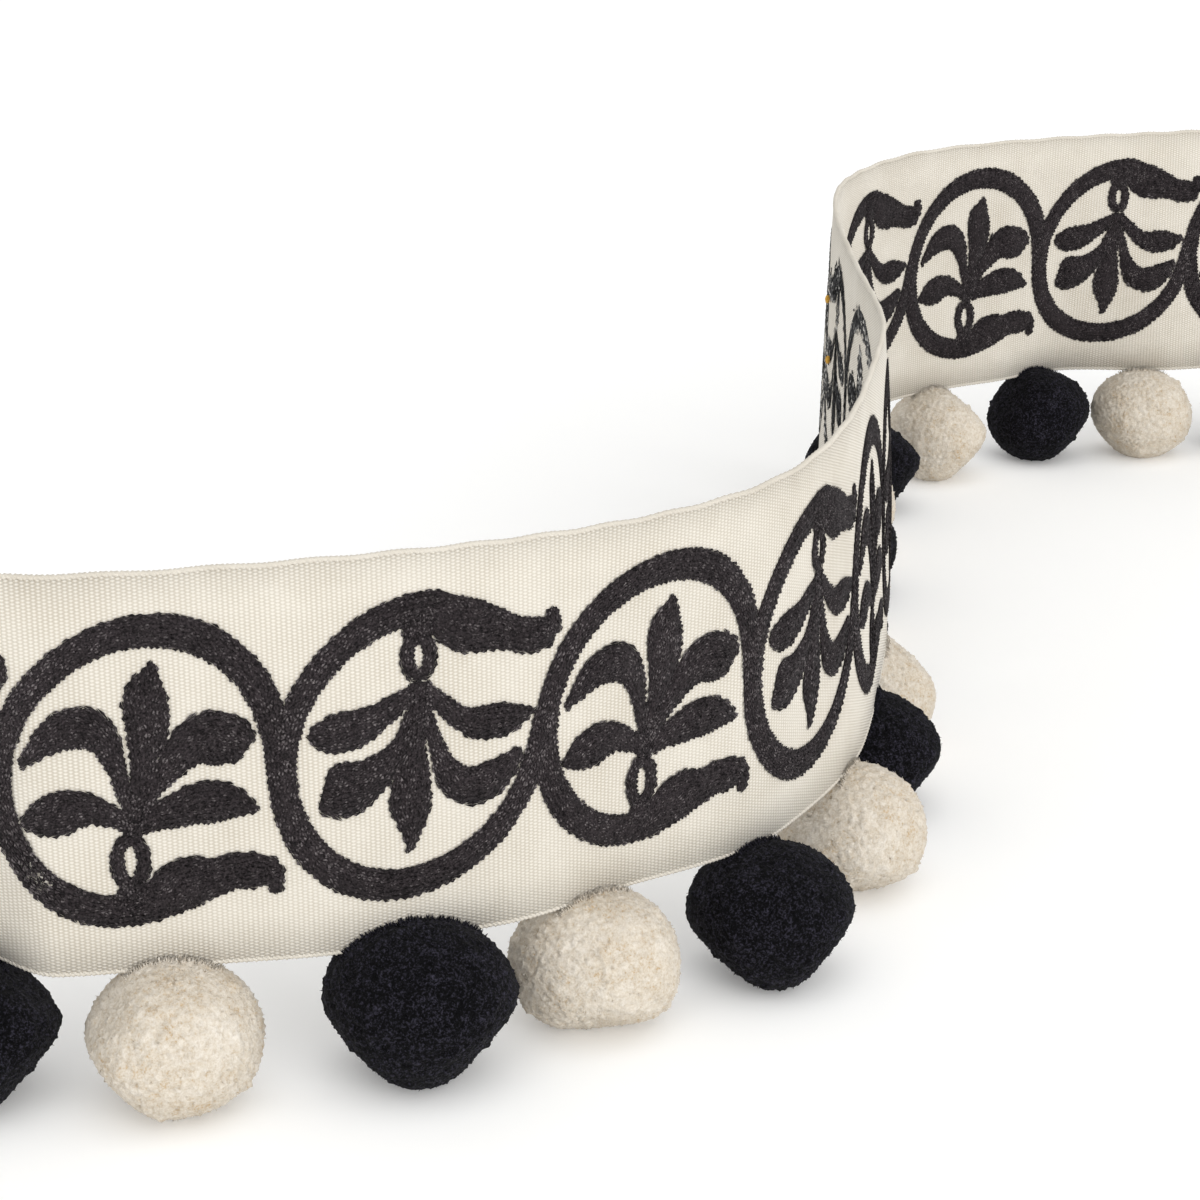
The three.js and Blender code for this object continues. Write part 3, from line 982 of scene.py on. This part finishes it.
def stray_lines(centre, row, number, rng):
    """Root and tip of the single yarn ends that stand up all round."""
    direction = unit(even_directions(STRAY_ENDS) + rng.normal(0, 0.05, (STRAY_ENDS, 3)))
    reach = ball_reach(direction, row, number)
    root = centre + direction * (reach - ROOT_DEPTH)[:, None]
    upper = root[:, 2] > TOP_HEIGHT - TAPE_WIDTH - 2
    beside = np.linalg.norm(to_tape(root, row[0]), axis=1) < PARTING + 0.8
    clear = (root[:, 2] > 1.5) & ~(upper & beside)
    root = root[clear]
    lean = unit(direction[clear] + rng.normal(0, STRAY_LEAN, root.shape))
    tip = root + lean * (ROOT_DEPTH + rng.uniform(*STRAY_LENGTH, len(root)))[:, None]
    tip[:, 2] = np.maximum(tip[:, 2], 0.1)
    return root, tip


def fringe_lines(ball, centre, row, number, rng):
    """Root and tip of the ends along the parting, which lean over the narrow gap to the cloth."""
    points = get_points(ball) / MM - WALK_START
    direction = unit(points - centre)
    reach = ball_reach(direction, row, number)
    skin = np.linalg.norm(points - centre, axis=1) > reach - ROOT_DEPTH
    skin &= points[:, 2] > TOP_HEIGHT - TAPE_WIDTH - 1
    root, direction = points[skin], direction[skin]
    toward = to_tape(root, row[0])
    gap = np.linalg.norm(toward, axis=1)
    picked = rng.choice(np.flatnonzero(gap < PARTING + FRINGE_BAND), FRINGE_ENDS)
    root, direction, toward, gap = root[picked], direction[picked], toward[picked], gap[picked]
    length = rng.uniform(*FRINGE_LENGTH, FRINGE_ENDS)[:, None]
    closing = np.clip(gap - FACE - PILE_CLEARANCE / 2, 0, LONGEST_CLOSING)[:, None]
    sway = rng.normal(0, FRINGE_SWAY, root.shape) * (1, 1, 0.5)
    sway -= toward * (np.sum(sway * toward, axis=1) / gap ** 2)[:, None]
    rise = direction - toward * (np.sum(direction * toward, axis=1) / gap ** 2)[:, None]
    tip = root + unit(rise) * length + sway + toward / gap[:, None] * closing
    return root - direction * 0.3, tip


def yarn_ends(name, root, tip, rng):
    """One thin three-sided spike from each root to its tip."""
    count = len(root)
    lean = unit(tip - root)
    side = unit(np.cross(lean, rng.normal(0, 1, (count, 3))))
    other = np.cross(lean, side)
    turns = [2 * math.pi * corner / 3 for corner in range(3)]
    corners = [
        root + STRAY_WIDTH * (side * math.cos(turn) + other * math.sin(turn)) for turn in turns]
    points = np.stack(corners + [tip], axis=1).reshape(-1, 3)
    pattern = np.array([(0, 2, 1), (0, 1, 3), (1, 2, 3), (2, 0, 3)])
    triangles = (pattern[None] + 4 * np.arange(count)[:, None, None]).reshape(-1, 3)
    ends = new_piece(name, points, triangles, np.repeat(rng.uniform(0, 1, count), 4))
    keep_values(ends.data, "crown_and_shade", np.tile(END_CROWN_AND_SHADE, count))
    return ends


def make_pompom(number, row):
    yarn = "cream" if number % 2 else "navy"
    name = f"pompom_pile_{number:02d}_{yarn}"
    ball, centre = clipped_ball(name, number, row)
    ruffle(ball, centre, row, number)
    rng = np.random.default_rng(2000 + number)
    strays = stray_lines(centre - WALK_START, row, number, rng)
    fringe = fringe_lines(ball, centre - WALK_START, row, number, rng)
    root, tip = [np.vstack(pair) for pair in zip(strays, fringe)]
    ends = yarn_ends(name + "_ends", root, tip, rng)
    make_active(ball)
    bpy.ops.object.shade_smooth()
    ends.select_set(True)
    bpy.ops.object.join()
    return ball, yarn


pompoms = [make_pompom(number, row) for number, row in enumerate(POMPOMS, start=1)]
report(pompoms[0][0])

# %% [markdown]
# ## Materials
# The tape is undyed cotton grosgrain. Its ribs are in the mesh, and the beads where single
# warp threads cross them are drawn from the tape's own measured map: one wave along the tape
# at the rib pitch times one wave down it at the thread spacing, which is the checkerboard of a
# plain weave. The beads are also in the bump. Both waves darken the colour in the grooves
# between ribs and between beads, which is painted shade, and a broad noise makes the tone
# uneven.

# %% Undyed cotton
BEAD_SPACING = 0.77
COTTON = "#D9D4CA"
# painted shade: the colour of the grooves between ribs and beads, and the dark end of the uneven
# tone
COTTON_DARK_AND_GROOVE_SHADE = "#B2A999"
RIB_SHADE_SHARE, BEAD_SHADE_SHARE = 0.18, 0.3


def wave(tree, source, length):
    """A cosine wave of the given length in millimetres along one measured direction."""
    settings = {"operation": "MULTIPLY", 1: 2 * math.pi / (length * MM)}
    angle = add_node(tree, "ShaderNodeMath", settings, {0: source}).outputs[0]
    return add_node(tree, "ShaderNodeMath", {"operation": "COSINE"}, {0: angle}).outputs[0]


def add_share(tree, source, share, base):
    """base plus a share of source."""
    settings = {"operation": "MULTIPLY_ADD", 1: share}
    return add_node(tree, "ShaderNodeMath", settings, {0: source, 2: base}).outputs[0]


def noise(tree, scale, detail=3.0):
    place = add_node(tree, "ShaderNodeTexCoord")
    node = add_node(
        tree, "ShaderNodeTexNoise", {"Scale": scale, "Detail": detail, "Roughness": 0.65},
        {"Vector": place.outputs["Object"]})
    return node.outputs["Fac"]


def colour_ramp(tree, shade, stops):
    """Turns a shade into a colour. stops are two or three pairs of a place and a colour."""
    node = add_node(tree, "ShaderNodeValToRGB", None, {"Fac": shade})
    ramp = node.color_ramp.elements
    if len(stops) == 3:
        ramp.new(0.5)
    for element, (stop, hex_colour) in zip(ramp, stops):
        element.position = stop
        element.color = linear(hex_colour)
    return node.outputs["Color"]


def cotton_material(name, woven_beads):
    material, tree = new_material(name)
    softened = add_node(
        tree, "ShaderNodeMath", {"operation": "MULTIPLY_ADD", 1: 0.5, 2: 0.25},
        {0: noise(tree, 55.0)})
    light = softened.outputs[0]
    height = noise(tree, 2600.0)
    if woven_beads:
        measured = add_node(tree, "ShaderNodeUVMap", {"uv_map": "along_and_down_in_metres"})
        split = add_node(tree, "ShaderNodeSeparateXYZ", None, {0: measured.outputs["UV"]})
        ribs = wave(tree, split.outputs[0], RIB_PITCH)
        turns = wave(tree, split.outputs[0], 2 * RIB_PITCH)
        down = wave(tree, split.outputs[1], BEAD_SPACING)
        beads = add_node(tree, "ShaderNodeMath", {"operation": "MULTIPLY"}, {0: turns, 1: down})
        # Painted shade: the rib and bead waves darken the colour in their grooves.
        light = add_share(tree, ribs, RIB_SHADE_SHARE, light)
        light = add_share(tree, beads.outputs[0], BEAD_SHADE_SHARE, light)
        height = add_share(tree, height, 0.25, beads.outputs[0])
    colour = colour_ramp(tree, light, [(0.1, COTTON_DARK_AND_GROOVE_SHADE), (0.75, COTTON)])
    bump = add_node(
        tree, "ShaderNodeBump", {"Strength": 0.5, "Distance": 0.12 * MM}, {"Height": height})
    finish_material(
        tree, {"Roughness": 0.9, "Sheen Weight": 0.1, "Specular IOR Level": 0.2},
        {"Base Color": colour, "Normal": bump.outputs["Normal"]})
    return material


cotton_cloth = cotton_material("undyed_cotton_grosgrain", True)
cotton_cord = cotton_material("undyed_cotton_twist", False)
selvedges = [upper_selvedge, lower_selvedge]
dress([tape], cotton_cloth)
dress(selvedges, cotton_cord)
print("cotton on the tape and", len(selvedges), "selvedges")

# %% [markdown]
# The embroidery yarn is dyed charcoal wool. Its plies take the light a little differently from
# stitch to stitch, so the shade follows the tone kept on each stitch, and a fine bump stands
# for the twist. The same fine noise lightens small specks of the colour: partly the fibres' own
# tone, partly painted highlights. Behind, the same yarn is flecked by the pale holding thread.
# The pompom yarn is matt; its colour is painted lighter on the crowns of the tufts and the tips
# of the yarn ends, and darker in the creases between tufts, as painted light and shade.

# %% Wool and pile
def yarn_material(name, shades, mix, fibre_scale, bump, specular):
    """mix says how much fibre glints, patches, tone and painted crown light turn the shade."""
    material, tree = new_material(name)
    fibre_and_glint = noise(tree, fibre_scale)
    # The fibre noise also lightens small specks: partly the fibres' tone, partly painted
    # highlights.
    spread = add_node(
        tree, "ShaderNodeMapRange", {"From Min": 0.25, "From Max": 0.75, "To Max": mix["fibre_and_glint"]},
        {"Value": fibre_and_glint})
    patches = add_node(
        tree, "ShaderNodeMapRange",
        {"From Min": 0.3, "From Max": 0.7, "To Min": -mix["patch"], "To Max": mix["patch"]},
        {"Value": noise(tree, 90.0, 2.0)})
    shade = add_share(tree, patches.outputs[0], 1.0, spread.outputs[0])
    for part in ("tone", "crown_and_shade"):
        kept = add_node(tree, "ShaderNodeAttribute", {"attribute_name": part})
        shade = add_share(tree, kept.outputs["Fac"], mix[part], shade)
    colour = colour_ramp(tree, shade, shades)
    relief = add_node(
        tree, "ShaderNodeBump", {"Strength": 0.8, "Distance": bump * MM}, {"Height": fibre_and_glint})
    finish_material(
        tree, {"Roughness": 0.95, "Sheen Weight": 0.03, "Specular IOR Level": specular},
        {"Base Color": colour, "Normal": relief.outputs["Normal"]})
    return material


# The fibre share carries painted highlights; the crown share paints tufts light and creases dark.
STITCH_MIX = {"tone": 0.32, "crown_and_shade": 0.0, "fibre_and_glint": 0.6, "patch": 0.03}
BACK_MIX = {"tone": 0.75, "crown_and_shade": 0.0, "fibre_and_glint": 0.3, "patch": 0.1}
NAVY_MIX = {"tone": 0.1, "crown_and_shade": 0.2, "fibre_and_glint": 0.72, "patch": 0.04}
CREAM_MIX = {"tone": 0.2, "crown_and_shade": 0.2, "fibre_and_glint": 0.65, "patch": 0.12}
charcoal = yarn_material(
    "dyed_charcoal_wool", [(0.12, "#110E0F"), (0.5, "#3A3436"), (0.92, "#928B8B")],
    STITCH_MIX, 2000.0, 0.2, 0.15)
flecked = yarn_material(
    "charcoal_wool_wrong_side", [(0.1, "#202021"), (0.5, "#565658"), (0.95, "#E0DED8")],
    BACK_MIX, 1800.0, 0.2, 0.15)
navy_pile = yarn_material(
    "clipped_navy_wool", [(0.18, "#030304"), (0.52, "#0B0B0D"), (0.94, "#3A3844")], NAVY_MIX,
    1900.0, 0.45, 0.06)
cream_pile = yarn_material(
    "clipped_cream_wool", [(0.1, "#B29670"), (0.42, "#C7BCAB"), (0.9, "#DCD5CA")], CREAM_MIX,
    1900.0, 0.35, 0.15)
gold_thread = yarn_material(
    "gold_thread", [(0.1, "#A87B2C"), (0.4, "#D9A94A"), (0.9, "#F0D48A")], STITCH_MIX,
    2400.0, 0.2, 0.3)

dress([scroll_left, scroll_right, face_shade_underlay], charcoal)
dress([wrong_side, wrong_side_underlay], flecked)
dress(gold_knots, gold_thread)
for pompom, yarn in pompoms:
    dress([pompom], cream_pile if yarn == "cream" else navy_pile)
print("yarn on", len(pompoms), "pompoms")

# %% [markdown]
# ## What stands for what
# Every piece rides on the one body of the frame. The woven tape stands for the solid tape and
# each pile for its solid ball. The tape, cut 90 mm by 850 mm, stands on its pompoms.

# %% Tie the pieces to the frame
embroidery = [scroll_left, scroll_right, face_shade_underlay, wrong_side, wrong_side_underlay]
embroidery += gold_knots
balls = [pompom for pompom, yarn in pompoms]
for piece in [tape] + selvedges + embroidery + balls:
    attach(piece, "root")
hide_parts("tape")
for number, (pompom, yarn) in enumerate(pompoms, start=1):
    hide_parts(f"pompom_{number:02d}_{yarn}")
